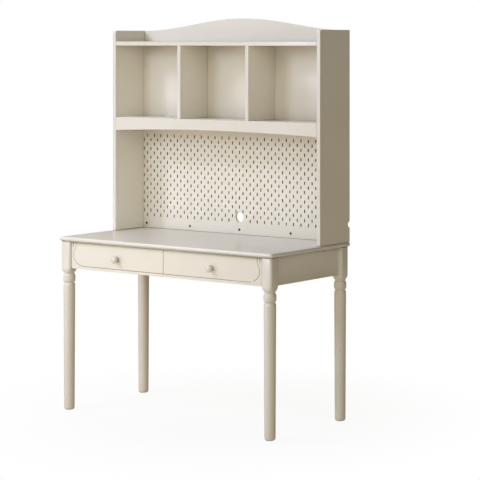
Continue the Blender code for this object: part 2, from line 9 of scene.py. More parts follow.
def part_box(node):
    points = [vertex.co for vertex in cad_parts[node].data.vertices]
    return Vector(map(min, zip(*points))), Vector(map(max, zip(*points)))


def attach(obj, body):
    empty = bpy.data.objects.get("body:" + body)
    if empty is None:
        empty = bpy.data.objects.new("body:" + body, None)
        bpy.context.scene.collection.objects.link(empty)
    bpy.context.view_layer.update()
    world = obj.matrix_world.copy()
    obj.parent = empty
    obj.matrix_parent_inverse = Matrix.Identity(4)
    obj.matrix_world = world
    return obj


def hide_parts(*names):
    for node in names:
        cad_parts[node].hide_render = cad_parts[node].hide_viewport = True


# The finished look of a writing desk with two drawers and a fixed pegboard hutch. +X is the
# user's right, -Y is the side that the user sits at, and +Z is up. Lengths are in metres.

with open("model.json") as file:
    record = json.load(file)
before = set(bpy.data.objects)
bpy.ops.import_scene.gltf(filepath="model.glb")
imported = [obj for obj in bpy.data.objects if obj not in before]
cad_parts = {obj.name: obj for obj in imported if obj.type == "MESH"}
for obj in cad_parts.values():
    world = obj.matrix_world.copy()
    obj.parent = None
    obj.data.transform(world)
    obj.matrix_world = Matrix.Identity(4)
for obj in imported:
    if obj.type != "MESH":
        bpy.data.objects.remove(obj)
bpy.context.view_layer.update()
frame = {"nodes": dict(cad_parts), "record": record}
SIDES = (("left", -1), ("right", 1))

# Widths of the eased edges
BOARD_EDGE = 0.0016
THIN_EDGE = 0.0007
STEEL_EDGE = 0.0004
DRAWER_EDGE = 0.0011
PEG_SLOT_EDGE = 0.0005
SIDE_EDGE = 0.0038
CREST_EDGE = 0.0026
SHELF_RAIL_EDGE = 0.0020

# Desktop: a bullnose bead over a set-back step
DESKTOP_CORNER = 0.014
BEAD_RADIUS = 0.0085
STEP_INSET = 0.010
STEP_EASE = 0.0006
STEP_UNDERCUT = 0.0004

# Turned legs under square blocks, from the foot up
FOOT_ROUND = 0.010
FOOT_RADIUS = 0.0224
SHAFT_TOP_RADIUS = 0.0250
SHAFT_SHOULDER = 0.013
SHAFT_TOP = 0.5495
GROOVE_RADIUS = 0.0206
GROOVE_TOP = 0.5530
LEG_BEAD_RADIUS = 0.0262
LEG_BEAD_MIDDLE = 0.5710
LEG_BEAD_FULLNESS = 0.62
BEAD_SEAT = 0.0008
NECK_TOP = 0.5915
BLOCK_BOTTOM = 0.6140
BLOCK_CORNER = 0.012
BLOCK_EASE = 0.0010

# Front frame and drawer fronts
REVEAL = 0.0015
END_CURVE_WIDTH = 0.058
END_CURVE_DROP = 0.045
SHOULDER_IN = 0.013
SHOULDER_Z = 0.708
SLIT_WIDTH = 0.002
SLIT_DROP = 0.023
RAIL_HEIGHT = 0.012

# Knobs and screws
KNOB_SIDES = 72
SCREW_HOLE = 0.0023
SEAT_GAP = 0.0003
SCREW_SIDES = 36

# Hutch
SIDE_CORNER = 0.012
NOTCH_RADIUS = 0.0125
NOTCH_Z = 0.825
SHELF_RAIL_ARCH = 0.0125
CREST_HALF_SPAN = 0.540
CREST_FULLNESS = 0.9
CREST_EDGE_Z = 1.645

# Pegboard pattern
PITCH = 0.040
SLOT_WIDTH = 0.005
SLOT_LENGTH = 0.015
SLOT_COLUMNS = 29
SLOT_ROWS = 19
LOWEST_SLOT_Z = 0.810
CABLE_HOLE_RADIUS = 0.023
CABLE_HOLE_Z = 0.826
SLOT_TO_HOLE = 0.003
PEG_SCREW_X = (-0.545, -0.285, 0.0, 0.285, 0.545)
PEG_SCREW_Z = 0.771

# Colours of the finishes, as linear red, green and blue
CREAM = (0.815, 0.780, 0.690)
# The desktop's cream is paler than the rest; part of that is painted sheen for the top, which catches
# the light.
DESKTOP_CREAM_AND_SHEEN = (0.850, 0.818, 0.752)
KNOB_CREAM = (0.83, 0.80, 0.71)
DRAWER_BOX_CREAM = (0.80, 0.765, 0.68)

# Studio: the colours of the sky's soft patches, the lamps and the floor
WARM_RIGHT = (1.9, 1.85, 1.65)
COOL_LEFT = (2.5, 2.4, 3.2)
WARM_BEHIND = (2.4, 2.25, 1.8)
COOL_LAMP = (0.75, 0.80, 1.0)
WARM_LAMP = (1.0, 0.95, 0.82)
LAMP_REACH = 3.2
LAMP_AIM = (0.0, 0.0, 0.9)
FLOOR_SIZE = 40.0
FLOOR_COLOUR = (0.93, 0.93, 0.925)
FLOOR_BOUNCE = (0.30, 0.26, 0.21)
FLOOR_GLOW = (0.17, 0.14, 0.10)
FLOOR_FADE = (0.5, 1.3)
WHITE = (1.0, 1.0, 1.0)

# Camera: level, with a shifted lens, turned in degrees and with its lens in millimetres
CAMERA_PLACE = (5.20, -6.0424, 1.597)
CAMERA_TURN = 34.59
CAMERA_LENS = 139.07
LENS_SHIFT = (-0.3357, -0.4140)


# Node helpers ------------------------------------------------------------------------


class Shader:
    """A material's node tree, with short names for the nodes that the finishes share."""

    def __init__(self, name):
        self.material = bpy.data.materials.new(name)
        self.material.use_nodes = True
        self.tree = self.material.node_tree
        self.surface = self.tree.nodes["Principled BSDF"]
        self.place = self.add("ShaderNodeTexCoord").outputs["Object"]

    def add(self, kind, **inputs):
        node = self.tree.nodes.new(kind)
        for key, value in inputs.items():
            self.plug(node, key.replace("_", " "), value)
        return node

    def plug(self, node, key, value):
        socket = node.inputs[key]
        if isinstance(value, bpy.types.NodeSocket):
            self.tree.links.new(value, socket)
        else:
            socket.default_value = value

    def stretched(self, scale):
        node = self.add("ShaderNodeMapping", Vector=self.place, Scale=scale)
        return node.outputs["Vector"]

    def noise(self, scale, detail=2.0, place=None, rough=0.5):
        node = self.add(
            "ShaderNodeTexNoise",
            Vector=place or self.place,
            Scale=scale,
            Detail=detail,
            Roughness=rough,
        )
        return node.outputs["Fac"]

    def ramp(self, value, low, high, start=0.0, end=1.0):
        node = self.add("ShaderNodeMapRange", Value=value)
        node.inputs["From Min"].default_value = low
        node.inputs["From Max"].default_value = high
        node.inputs["To Min"].default_value = start
        node.inputs["To Max"].default_value = end
        return node.outputs["Result"]

    def math(self, operation, first, second):
        node = self.add("ShaderNodeMath")
        node.operation = operation
        self.tree.links.new(first, node.inputs[0])
        if isinstance(second, bpy.types.NodeSocket):
            self.tree.links.new(second, node.inputs[1])
        else:
            node.inputs[1].default_value = second
        return node.outputs["Value"]

    def mix(self, share, first, second):
        node = self.tree.nodes.new("ShaderNodeMix")
        node.data_type = "RGBA"
        self.plug(node, "Factor", share)
        for socket, value in zip([s for s in node.inputs if s.type == "RGBA"], (first, second)):
            if isinstance(value, bpy.types.NodeSocket):
                self.tree.links.new(value, socket)
            else:
                socket.default_value = (*value, 1.0)
        return next(s for s in node.outputs if s.type == "RGBA")

    def bump(self, height, distance, strength=1.0, below=None):
        node = self.add("ShaderNodeBump", Height=height, Distance=distance, Strength=strength)
        if below is not None:
            self.tree.links.new(below, node.inputs["Normal"])
        return node.outputs["Normal"]

    def edges(self, radius):
        """A mask that is 1 on a convex or concave edge and 0 on the flats."""
        bevel = self.tree.nodes.new("ShaderNodeBevel")
        bevel.samples = 4
        bevel.inputs["Radius"].default_value = radius
        flat = self.tree.nodes.new("ShaderNodeNewGeometry")
        dot = self.tree.nodes.new("ShaderNodeVectorMath")
        dot.operation = "DOT_PRODUCT"
        self.tree.links.new(bevel.outputs["Normal"], dot.inputs[0])
        self.tree.links.new(flat.outputs["Normal"], dot.inputs[1])
        return self.ramp(dot.outputs["Value"], 0.995, 0.90)

    def crevices(self, reach, shut=0.25):
        """A mask that is 1 deep in a joint or under an overhang and 0 in the open."""
        shade = self.tree.nodes.new("ShaderNodeAmbientOcclusion")
        shade.samples = 6
        shade.inputs["Distance"].default_value = reach
        return self.ramp(shade.outputs["AO"], 0.92, shut)

    def finish(self, **inputs):
        for key, value in inputs.items():
            self.plug(self.surface, key.replace("_", " "), value)
        return self.material


# Finishes ----------------------------------------------------------------------------


def lacquer(
    name, colour, roughness=0.34, peel=1.0, coat=0.35, joint=0.22, reach=0.006, shut=0.25, deep=0.36
):
    """Sprayed cream lacquer: orange peel, a ghost of the board's fibre, edges that are worn and carry
    a painted highlight, and painted shade in joints.

    Painted shade darkens a joint or the space under an overhang by the share joint, towards deep
    times the colour with less blue. It starts within a distance reach of the joint, and is thickest
    where the openness is shut.
    """
    shader = Shader(name)
    deeper = tuple(c * f for c, f in zip(colour, (0.965, 0.955, 0.93)))
    paler_highlight = tuple(min(c * f, 1.0) for c, f in zip(colour, (1.02, 1.025, 1.045)))
    drift = shader.ramp(shader.noise(1.7, 3.0), 0.35, 0.65)
    tint = shader.mix(drift, deeper, colour)
    # Edges turn paler in patches: partly rubbed wear, partly a painted highlight.
    edge = shader.edges(0.0022)
    patchy = shader.ramp(shader.noise(38.0, 4.0, rough=0.62), 0.42, 0.62)
    wear_and_highlight = shader.math("MULTIPLY", edge, patchy)
    tint = shader.mix(shader.math("MULTIPLY", wear_and_highlight, 0.55), tint, paler_highlight)
    specks = shader.ramp(shader.noise(900.0, 1.0), 0.70, 0.80, 0.0, 0.05)
    tint = shader.mix(specks, tint, (0.42, 0.36, 0.27))
    # Painted shade: ambient occlusion darkens joints, corners and the undersides of overhangs.
    crevice_shade = shader.math("MULTIPLY", shader.crevices(reach, shut), joint)
    tint = shader.mix(crevice_shade, tint, tuple(c * deep * f for c, f in zip(colour, (1.0, 0.95, 0.70))))
    sheen = shader.ramp(shader.noise(14.0, 3.0), 0.3, 0.7, roughness - 0.05, roughness + 0.06)
    sheen = shader.math("SUBTRACT", sheen, shader.math("MULTIPLY", wear_and_highlight, 0.06))
    fibre = shader.noise(1.0, 4.0, place=shader.stretched((9.0, 160.0, 160.0)), rough=0.55)
    normal = shader.bump(fibre, 0.00005, 0.35 * peel)
    normal = shader.bump(shader.noise(330.0, 2.0), 0.00006, 0.5 * peel, below=normal)
    return shader.finish(
        Base_Color=tint,
        Roughness=sheen,
        Normal=normal,
        Coat_Weight=coat,
        Coat_Roughness=0.22,
        Specular_IOR_Level=0.45,
    )


def polished_lacquer(name, colour):
    """The desktop's satin coat: smooth, with fine lines along the board and a sheen that drifts."""
    shader = Shader(name)
    deeper = tuple(c * f for c, f in zip(colour, (0.97, 0.965, 0.95)))
    drift = shader.ramp(shader.noise(2.1, 3.0), 0.35, 0.65)
    tint = shader.mix(drift, deeper, colour)
    lines = shader.noise(1.0, 3.0, place=shader.stretched((3.0, 260.0, 260.0)), rough=0.6)
    tint = shader.mix(shader.ramp(lines, 0.35, 0.75, 0.0, 0.035), tint, (0.66, 0.62, 0.54))
    # Painted shade: ambient occlusion darkens the step under the bead and other hollows, nearly to
    # black.
    crevice_shade = shader.crevices(0.012, 0.5)
    tint = shader.mix(crevice_shade, tint, tuple(c * f for c, f in zip(colour, (0.26, 0.24, 0.17))))
    patchy = shader.ramp(shader.noise(30.0, 4.0), 0.42, 0.62)
    worn = shader.math("MULTIPLY", shader.edges(0.0025), patchy)
    tint = shader.mix(shader.math("MULTIPLY", worn, 0.5), tint, (0.85, 0.82, 0.74))
    sheen = shader.ramp(lines, 0.3, 0.7, 0.34, 0.37)
    sheen = shader.math("ADD", sheen, shader.ramp(shader.noise(6.0, 3.0), 0.3, 0.7, -0.02, 0.03))
    return shader.finish(
        Base_Color=tint,
        Roughness=sheen,
        Normal=shader.bump(lines, 0.0000012, 0.35),
        Coat_Weight=0.5,
        Coat_Roughness=0.21,
        Specular_IOR_Level=0.5,
    )


def plywood(name):
    """Sealed birch ply: long pale grain with darker streaks."""
    shader = Shader(name)
    along = shader.stretched((5.0, 70.0, 70.0))
    streak = shader.noise(1.6, 6.0, place=along, rough=0.62)
    pores = shader.ramp(shader.noise(7.0, 2.0, place=along), 0.60, 0.72)
    tint = shader.mix(shader.ramp(streak, 0.3, 0.7), (0.62, 0.47, 0.30), (0.80, 0.67, 0.48))
    tint = shader.mix(shader.math("MULTIPLY", pores, 0.35), tint, (0.45, 0.31, 0.18))
    rough = shader.ramp(streak, 0.3, 0.7, 0.48, 0.62)
    return shader.finish(
        Base_Color=tint, Roughness=rough, Normal=shader.bump(streak, 0.00012, 0.5)
    )


def fibreboard(name):
    """The cut core inside a slot: brown board with short fibres and a dusting of lacquer."""
    shader = Shader(name)
    fibre = shader.noise(420.0, 4.0, rough=0.65)
    dusting = shader.ramp(shader.noise(120.0, 2.0), 0.55, 0.75, 0.0, 0.25)
    tint = shader.mix(shader.ramp(fibre, 0.3, 0.7), (0.17, 0.125, 0.085), (0.26, 0.20, 0.14))
    tint = shader.mix(dusting, tint, (0.55, 0.50, 0.42))
    return shader.finish(Base_Color=tint, Roughness=0.85, Normal=shader.bump(fibre, 0.0001, 0.6))


def pine(name):
    """Bare planed pine: bands of early and late wood."""
    shader = Shader(name)
    wave = shader.add("ShaderNodeTexWave", Vector=shader.stretched((1.0, 0.25, 1.0)))
    wave.inputs["Scale"].default_value = 32.0
    wave.inputs["Distortion"].default_value = 4.5
    wave.inputs["Detail"].default_value = 3.0
    band = wave.outputs["Fac"]
    fibre = shader.noise(1.0, 4.0, place=shader.stretched((300.0, 14.0, 300.0)))
    tint = shader.mix(shader.ramp(band, 0.2, 0.9), (0.74, 0.56, 0.34), (0.58, 0.37, 0.18))
    tint = shader.mix(shader.ramp(fibre, 0.4, 0.7, 0.0, 0.25), tint, (0.82, 0.67, 0.46))
    return shader.finish(
        Base_Color=tint, Roughness=0.62, Normal=shader.bump(fibre, 0.0001, 0.6)
    )


def steel(name):
    """Zinc-plated strip: drawn lines along its length and a faint blue-grey mottle."""
    shader = Shader(name)
    lines = shader.noise(1.0, 2.0, place=shader.stretched((900.0, 12.0, 900.0)))
    mottle = shader.ramp(shader.noise(55.0, 3.0), 0.35, 0.65)
    tint = shader.mix(mottle, (0.55, 0.57, 0.60), (0.68, 0.69, 0.70))
    rough = shader.ramp(lines, 0.3, 0.7, 0.24, 0.42)
    return shader.finish(
        Base_Color=tint, Metallic=1.0, Roughness=rough, Normal=shader.bump(lines, 0.00002, 0.4)
    )


def black_oxide(name):
    """Blackened screw steel, a little brighter where the driver rubs it."""
    shader = Shader(name)
    rub = shader.math("MULTIPLY", shader.edges(0.0006), 0.5)
    tint = shader.mix(rub, (0.012, 0.012, 0.013), (0.10, 0.10, 0.10))
    rough = shader.ramp(shader.noise(700.0, 2.0), 0.3, 0.7, 0.28, 0.46)
    return shader.finish(Base_Color=tint, Metallic=0.7, Roughness=rough)


def make_finishes():
    # The fronts get strong painted shade in their joints and under the desktop's overhang.
    deep_crevice_shade = {"joint": 1.0, "reach": 0.014, "shut": 0.50, "deep": 0.15}
    return {
        "cream_lacquer": lacquer("cream_lacquer", CREAM),
        "front_lacquer": lacquer("front_lacquer", CREAM, **deep_crevice_shade),
        "desktop_lacquer": polished_lacquer("desktop_lacquer", DESKTOP_CREAM_AND_SHEEN),
        "knob_lacquer": lacquer("knob_lacquer", KNOB_CREAM, roughness=0.24, peel=0.4),
        "drawer_box": lacquer(
            "drawer_box_lacquer", DRAWER_BOX_CREAM, roughness=0.48, peel=1.3, coat=0.05
        ),
        "plywood": plywood("birch_plywood"),
        "pine": pine("planed_pine"),
        "fibreboard": fibreboard("fibreboard_core"),
        "zinc_steel": steel("zinc_steel"),
        "black_screw": black_oxide("black_oxide"),
    }


# Mesh helpers ------------------------------------------------------------------------


def piece(name, mesh_data, finish, body, smooth_angle=None):
    """A finished piece that rides on a body, with its mesh in the whole object's frame."""
    bmesh.ops.recalc_face_normals(mesh_data, faces=mesh_data.faces)
    mesh = bpy.data.meshes.new(name)
    mesh_data.to_mesh(mesh)
    mesh_data.free()
    mesh.materials.append(finish)
    if smooth_angle is not None:
        mesh.polygons.foreach_set("use_smooth", [True] * len(mesh.polygons))
        mesh.set_sharp_from_angle(angle=math.radians(smooth_angle))
    made = bpy.data.objects.new(name, mesh)
    bpy.context.scene.collection.objects.link(made)
    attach(made, body)
    return made


def round_edges(target, width, segments=3, angle=30.0):
    """Rounds every edge that turns by more than an angle, with clean normals on the flats."""
    target.data.polygons.foreach_set("use_smooth", [True] * len(target.data.polygons))
    bevel = target.modifiers.new("edge", "BEVEL")
    bevel.width = width
    bevel.segments = segments
    bevel.limit_method = "ANGLE"
    bevel.angle_limit = math.radians(angle)
    bevel.use_clamp_overlap = True
    bevel.harden_normals = True


def closed_loop(mesh_data, points):
    corners = [mesh_data.verts.new(point) for point in points]
    ends = corners[1:] + corners[:1]
    return [mesh_data.edges.new(pair) for pair in zip(corners, ends)]


def slab(outline, plane, low, high, holes=()):
    """A bmesh of a flat outline pushed from low to high along the axis its plane leaves out."""
    placed = {
        "xz": lambda a, b: (a, low, b),
        "yz": lambda a, b: (low, a, b),
        "xy": lambda a, b: (a, b, low),
    }[plane]
    push = {"xz": Vector((0, 1, 0)), "yz": Vector((1, 0, 0)), "xy": Vector((0, 0, 1))}[plane]
    mesh_data = bmesh.new()
    edges = closed_loop(mesh_data, [placed(*point) for point in outline])
    for hole in holes:
        edges += closed_loop(mesh_data, [placed(*point) for point in hole])
    if holes:
        bmesh.ops.triangle_fill(mesh_data, edges=edges, use_beauty=True)
    else:
        mesh_data.faces.new(mesh_data.verts)
    grown = bmesh.ops.extrude_face_region(mesh_data, geom=mesh_data.faces[:])
    moved = [item for item in grown["geom"] if isinstance(item, bmesh.types.BMVert)]
    bmesh.ops.translate(mesh_data, verts=moved, vec=push * (high - low))
    return mesh_data


def skin(rings, turn=None):
    """A bmesh skinned over rings of equal point count and capped at both ends."""
    mesh_data = bmesh.new()
    rows = [[mesh_data.verts.new(point) for point in ring] for ring in rings]
    for lower, upper in zip(rows, rows[1:]):
        count = len(lower)
        for k in range(count):
            after = (k + 1) % count
            mesh_data.faces.new((lower[k], lower[after], upper[after], upper[k]))
    mesh_data.faces.new(rows[0])
    mesh_data.faces.new(rows[-1])
    if turn is not None:
        bmesh.ops.transform(mesh_data, matrix=turn, verts=mesh_data.verts)
    return mesh_data


def circle(radius, count, centre=(0.0, 0.0)):
    angles = [math.tau * k / count for k in range(count)]
    return [(centre[0] + radius * math.cos(a), centre[1] + radius * math.sin(a)) for a in angles]


def rounded_rectangle(half_x, half_y, corner, steps):
    points = []
    for quarter, (sx, sy) in enumerate(((1, 1), (-1, 1), (-1, -1), (1, -1))):
        for k in range(steps):
            angle = math.pi / 2 * (quarter + (k + 0.5) / steps)
            x = sx * (half_x - corner) + corner * math.cos(angle)
            y = sy * (half_y - corner) + corner * math.sin(angle)
            points.append((x, y))
    return points


def middle(node):
    low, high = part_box(node)
    return (low + high) / 2


# Desk --------------------------------------------------------------------------------


def build_desktop(finish):
    low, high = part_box("desktop")
    centre = (low + high) / 2
    bead_centre = high.z - BEAD_RADIUS
    steps = 20
    levels = [(STEP_INSET + STEP_EASE, low.z), (STEP_INSET, low.z + STEP_EASE)]
    levels.append((STEP_INSET, bead_centre - BEAD_RADIUS + STEP_UNDERCUT))
    for k in range(steps + 1):
        angle = math.pi * (k / steps - 0.5)
        inset = BEAD_RADIUS * (1 - math.cos(angle))
        levels.append((inset, bead_centre + BEAD_RADIUS * math.sin(angle)))
    rings = []
    for inset, z in levels:
        half_x = (high.x - low.x) / 2 - inset
        half_y = (high.y - low.y) / 2 - inset
        ring = rounded_rectangle(half_x, half_y, DESKTOP_CORNER - inset, 12)
        rings.append([(centre.x + x, centre.y + y, z) for x, y in ring])
    made = piece("desktop_finished", skin(rings), finish, "desk", 40)
    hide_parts("desktop")


def smooth_step(share):
    share = min(max(share, 0.0), 1.0)
    return share * share * (3 - 2 * share)


def foot_levels(steps=8):
    """(radius, z) round the foot's lower edge."""
    levels = []
    for k in range(steps + 1):
        angle = math.pi / 2 * k / steps
        radius = FOOT_RADIUS - FOOT_ROUND * (1 - math.sin(angle))
        levels.append((radius, FOOT_ROUND * (1 - math.cos(angle))))
    return levels


def shaft_levels(steps=8, shoulder_steps=10):
    """(radius, z) up the tapered shaft and over its rounded shoulder."""
    shoulder_foot = SHAFT_TOP - SHAFT_SHOULDER
    levels = []
    for k in range(1, steps + 1):
        share = k / steps
        z = FOOT_ROUND + (shoulder_foot - FOOT_ROUND) * share
        levels.append((FOOT_RADIUS + (SHAFT_TOP_RADIUS - FOOT_RADIUS) * share, z))
    for k in range(1, shoulder_steps + 1):
        angle = math.pi / 2 * k / shoulder_steps
        drop = (SHAFT_TOP_RADIUS - GROOVE_RADIUS) * (1 - math.cos(angle))
        levels.append((SHAFT_TOP_RADIUS - drop, shoulder_foot + SHAFT_SHOULDER * math.sin(angle)))
    return levels


def bead_levels(steps=20):
    """(radius, z) from the groove over the full round bead to the top of the neck."""
    half_bead = LEG_BEAD_MIDDLE - GROOVE_TOP - BEAD_SEAT
    levels = [(GROOVE_RADIUS, GROOVE_TOP)]
    for k in range(1, steps):
        angle = math.pi * (k / steps - 0.5)
        swell = (LEG_BEAD_RADIUS - GROOVE_RADIUS) * math.cos(angle) ** LEG_BEAD_FULLNESS
        levels.append((GROOVE_RADIUS + swell, LEG_BEAD_MIDDLE + half_bead * math.sin(angle)))
    levels.append((GROOVE_RADIUS, LEG_BEAD_MIDDLE + half_bead))
    levels.append((GROOVE_RADIUS, NECK_TOP))
    return levels


def leg_levels(half_block, top):
    """(half width, corner radius, z) up the leg, closely spaced wherever the profile turns."""
    levels = foot_levels() + shaft_levels() + bead_levels()
    rings = [(radius, radius, z) for radius, z in levels]
    steps = 14
    for k in range(1, steps + 1):
        share = k / steps
        reach = math.sin(share * math.pi / 2) ** 0.9
        width = GROOVE_RADIUS + (half_block - GROOVE_RADIUS) * reach
        corner = GROOVE_RADIUS + (BLOCK_CORNER - GROOVE_RADIUS) * smooth_step(share * 1.1)
        rings.append((width, min(corner, width), NECK_TOP + (BLOCK_BOTTOM - NECK_TOP) * share))
    rings.append((half_block, BLOCK_CORNER, top - BLOCK_EASE))
    rings.append((half_block - 0.8 * BLOCK_EASE, BLOCK_CORNER - 0.5 * BLOCK_EASE, top))
    return rings


def build_legs(finish):
    for side, _ in SIDES:
        for end in ("front", "back"):
            node = f"leg_{end}_{side}"
            low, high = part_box(node)
            centre = (low + high) / 2
            half = (high.x - low.x) / 2
            rings = []
            for width, corner, z in leg_levels(half, high.z):
                ring = rounded_rectangle(width, width, corner, 16)
                rings.append([(centre.x + x, centre.y + y, z) for x, y in ring])
            made = piece(f"{node}_turned", skin(rings), finish, "desk", 50)
            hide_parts(node)


def end_curve(end_x, foot_z, grow, steps=18):
    """The drawer's rounded outer end, from its foot up to the shoulder, grown all round."""
    middle_x = end_x - END_CURVE_WIDTH
    middle_z = foot_z + END_CURVE_DROP
    width = END_CURVE_WIDTH + grow
    points = []
    for k in range(steps + 1):
        angle = -math.pi / 2 * (1 - k / steps)
        across = middle_x + width * math.cos(angle)
        points.append((across, middle_z + (END_CURVE_DROP + grow) * math.sin(angle)))
    last = math.acos((end_x - SHOULDER_IN + grow - middle_x) / width)
    rise = (SHOULDER_Z - middle_z) / math.sin(last)
    for k in range(1, steps + 1):
        angle = last * k / steps
        points.append((middle_x + width * math.cos(angle), middle_z + rise * math.sin(angle)))
    return points


def build_drawer_front(side, sign, finish):
    node = f"drawer_{side}_front"
    low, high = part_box(node)
    seam = min(abs(low.x), abs(high.x))
    end_x = max(abs(low.x), abs(high.x))
    outline = [(seam, high.z), (seam, low.z)]
    outline += end_curve(end_x, low.z, 0.0)
    outline.append((end_x - SHOULDER_IN, high.z))
    knob = middle(f"drawer_{side}_knob")
    bore = circle(SCREW_HOLE, 16, (abs(knob.x), knob.z))
    flipped = [[(sign * x, z) for x, z in loop] for loop in (outline, bore)]
    mesh_data = slab(flipped[0], "xz", low.y, high.y, [flipped[1]])
    made = piece(f"{node}_finished", mesh_data, finish, f"drawer_{side}")
    round_edges(made, DRAWER_EDGE)
    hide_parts(node)


def build_front_frame(side, sign, finish):
    node = f"front_frame_{side}"
    low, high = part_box(node)
    front_low, front_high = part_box(f"drawer_{side}_front")
    inner = min(abs(low.x), abs(high.x))
    outer = max(abs(low.x), abs(high.x))
    drawer_end = max(abs(front_low.x), abs(front_high.x))
    slit = drawer_end + REVEAL
    outline = [(inner, low.z + RAIL_HEIGHT), (inner, low.z), (outer, low.z), (outer, high.z)]
    outline += [(slit + SLIT_WIDTH, high.z), (slit + SLIT_WIDTH, high.z - SLIT_DROP)]
    outline += [(slit, high.z - SLIT_DROP), (slit, high.z)]
    outline.append((drawer_end - SHOULDER_IN + REVEAL, high.z))
    outline += reversed(end_curve(drawer_end, front_low.z, REVEAL))
    mesh_data = slab([(sign * x, z) for x, z in outline], "xz", low.y, high.y)
    made = piece(f"{node}_finished", mesh_data, finish, "desk")
    round_edges(made, THIN_EDGE, 2)
    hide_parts(node)


# Drawer hardware ---------------------------------------------------------------------


def flowing(controls, steps=4):
    """A smooth run of (radius, height) points through the control points."""
    ends = [controls[0]] + list(controls) + [controls[-1]]
    points = []
    for before, start, stop, after in zip(ends, ends[1:], ends[2:], ends[3:]):
        for k in range(1, steps + 1):
            t = k / steps
            point = []
            for a, b, c, d in zip(before, start, stop, after):
                bend = (2 * a - 5 * b + 4 * c - d) * t * t + (3 * b - a - 3 * c + d) * t**3
                point.append(0.5 * (2 * b + (c - a) * t + bend))
            points.append((max(point[0], 0.0002), point[1]))
    return points


def build_knob(side, finish):
    """A round mushroom knob with a small base, a waisted neck and a domed cap."""
    node = f"drawer_{side}_knob"
    low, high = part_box(node)
    centre = middle(node)
    length = high.y - low.y
    controls = [(SCREW_HOLE, 0.0), (0.0085, 0.0), (0.0089, 0.0004), (0.0090, 0.0014)]
    controls += [(0.0085, 0.0021), (0.0070, 0.0034), (0.0057, 0.0062), (0.0054, 0.0090)]
    controls += [(0.0074, 0.0117), (0.0116, 0.0137), (0.0143, 0.0158), (0.0150, 0.0182)]
    controls += [(0.0144, 0.0206), (0.0123, 0.0229), (0.0088, 0.0247), (0.0045, 0.0256)]
    controls += [(0.0012, length), (0.0003, length)]
    corners, curve = controls[:5], controls[4:]
    profile = [(SCREW_HOLE, 0.0150)] + corners + flowing(curve)
    rings = [[(x, y, z) for x, y in circle(radius, KNOB_SIDES)] for radius, z in profile]
    turn = Matrix.Translation((centre.x, high.y, centre.z)) @ Matrix.Rotation(math.pi / 2, 4, "X")
    made = piece(f"{node}_turned", skin(rings, turn), finish, f"drawer_{side}", 50)
    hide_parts(node)


def screw_rings(head, shank):
    """Rings from the floor of a six-sided socket, over the head and down to the shank's tip."""
    head_radius, head_height = head
    shank_radius, length = shank
    flat = head_radius * 0.42
    hexagon = []
    for k in range(SCREW_SIDES):
        angle = math.tau * k / SCREW_SIDES
        folded = (angle % (math.pi / 3)) - math.pi / 6
        reach = flat / math.cos(folded)
        hexagon.append((reach * math.cos(angle), reach * math.sin(angle)))
    floor = -head_height * 0.42
    rings = [[(0.2 * x, 0.2 * y, floor) for x, y in hexagon]]
    rings.append([(x, y, floor) for x, y in hexagon])
    rings.append([(x, y, -head_height * 0.96) for x, y in hexagon])
    rings.append([(1.12 * x, 1.12 * y, -head_height) for x, y in hexagon])
    dome = [(0.62, 0.97), (0.78, 0.86), (0.90, 0.66), (0.975, 0.38), (1.0, 0.14), (0.99, 0.0)]
    turned = [(head_radius * share, -head_height * rise) for share, rise in dome]
    turned += [(shank_radius, 0.0), (shank_radius, length * 0.84), (shank_radius * 0.25, length)]
    for radius, z in turned:
        rings.append([(x, y, z) for x, y in circle(radius, SCREW_SIDES)])
    return rings


def socket_screw(node, kind, place, turn, head, shank, finish, body):
    """A button-head screw that stands for a node, its head towards -Z before it is turned.

    head is the head's radius and height, and shank is the shank's radius and length.
    """
    matrix = Matrix.Translation(place) @ turn
    made = piece(f"{node}_{kind}", skin(screw_rings(head, shank), matrix), finish, body, 35)
    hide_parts(node)


def build_pegboard_screws(finish):
    away = Matrix.Rotation(-math.pi / 2, 4, "X")
    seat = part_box("pegboard_panel")[0].y - SEAT_GAP
    for number, x in enumerate(PEG_SCREW_X, 1):
        node = f"pegboard_screw_{number}"
        low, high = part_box(node)
        place = (x, seat, PEG_SCREW_Z)
        head, shank = (0.0050, seat - low.y), (0.0020, high.y - seat)
        socket_screw(node, "black", place, away, head, shank, finish, "desk")


def build_hutch_screws(side, finish):
    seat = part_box("desktop")[0].z - SEAT_GAP
    for number in (1, 2):
        node = f"hutch_screw_{side}_{number}"
        low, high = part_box(node)
        place = (middle(node).x, middle(node).y, seat)
        head, shank = (0.0065, seat - low.z), (0.0030, high.z - seat)
        socket_screw(node, "zinc", place, Matrix(), head, shank, finish, "desk")


def build_knob_screw(side, finish):
    node = f"drawer_{side}_knob_screw"
    low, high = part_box(node)
    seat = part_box(f"drawer_{side}_front")[1].y + SEAT_GAP
    place = (middle(node).x, seat, middle(node).z)
    towards_user = Matrix.Rotation(math.pi / 2, 4, "X")
    head, shank = (0.0042, high.y - seat), (0.0020, seat - low.y)
    socket_screw(node, "zinc", place, towards_user, head, shank, finish, f"drawer_{side}")


# Hutch -------------------------------------------------------------------------------


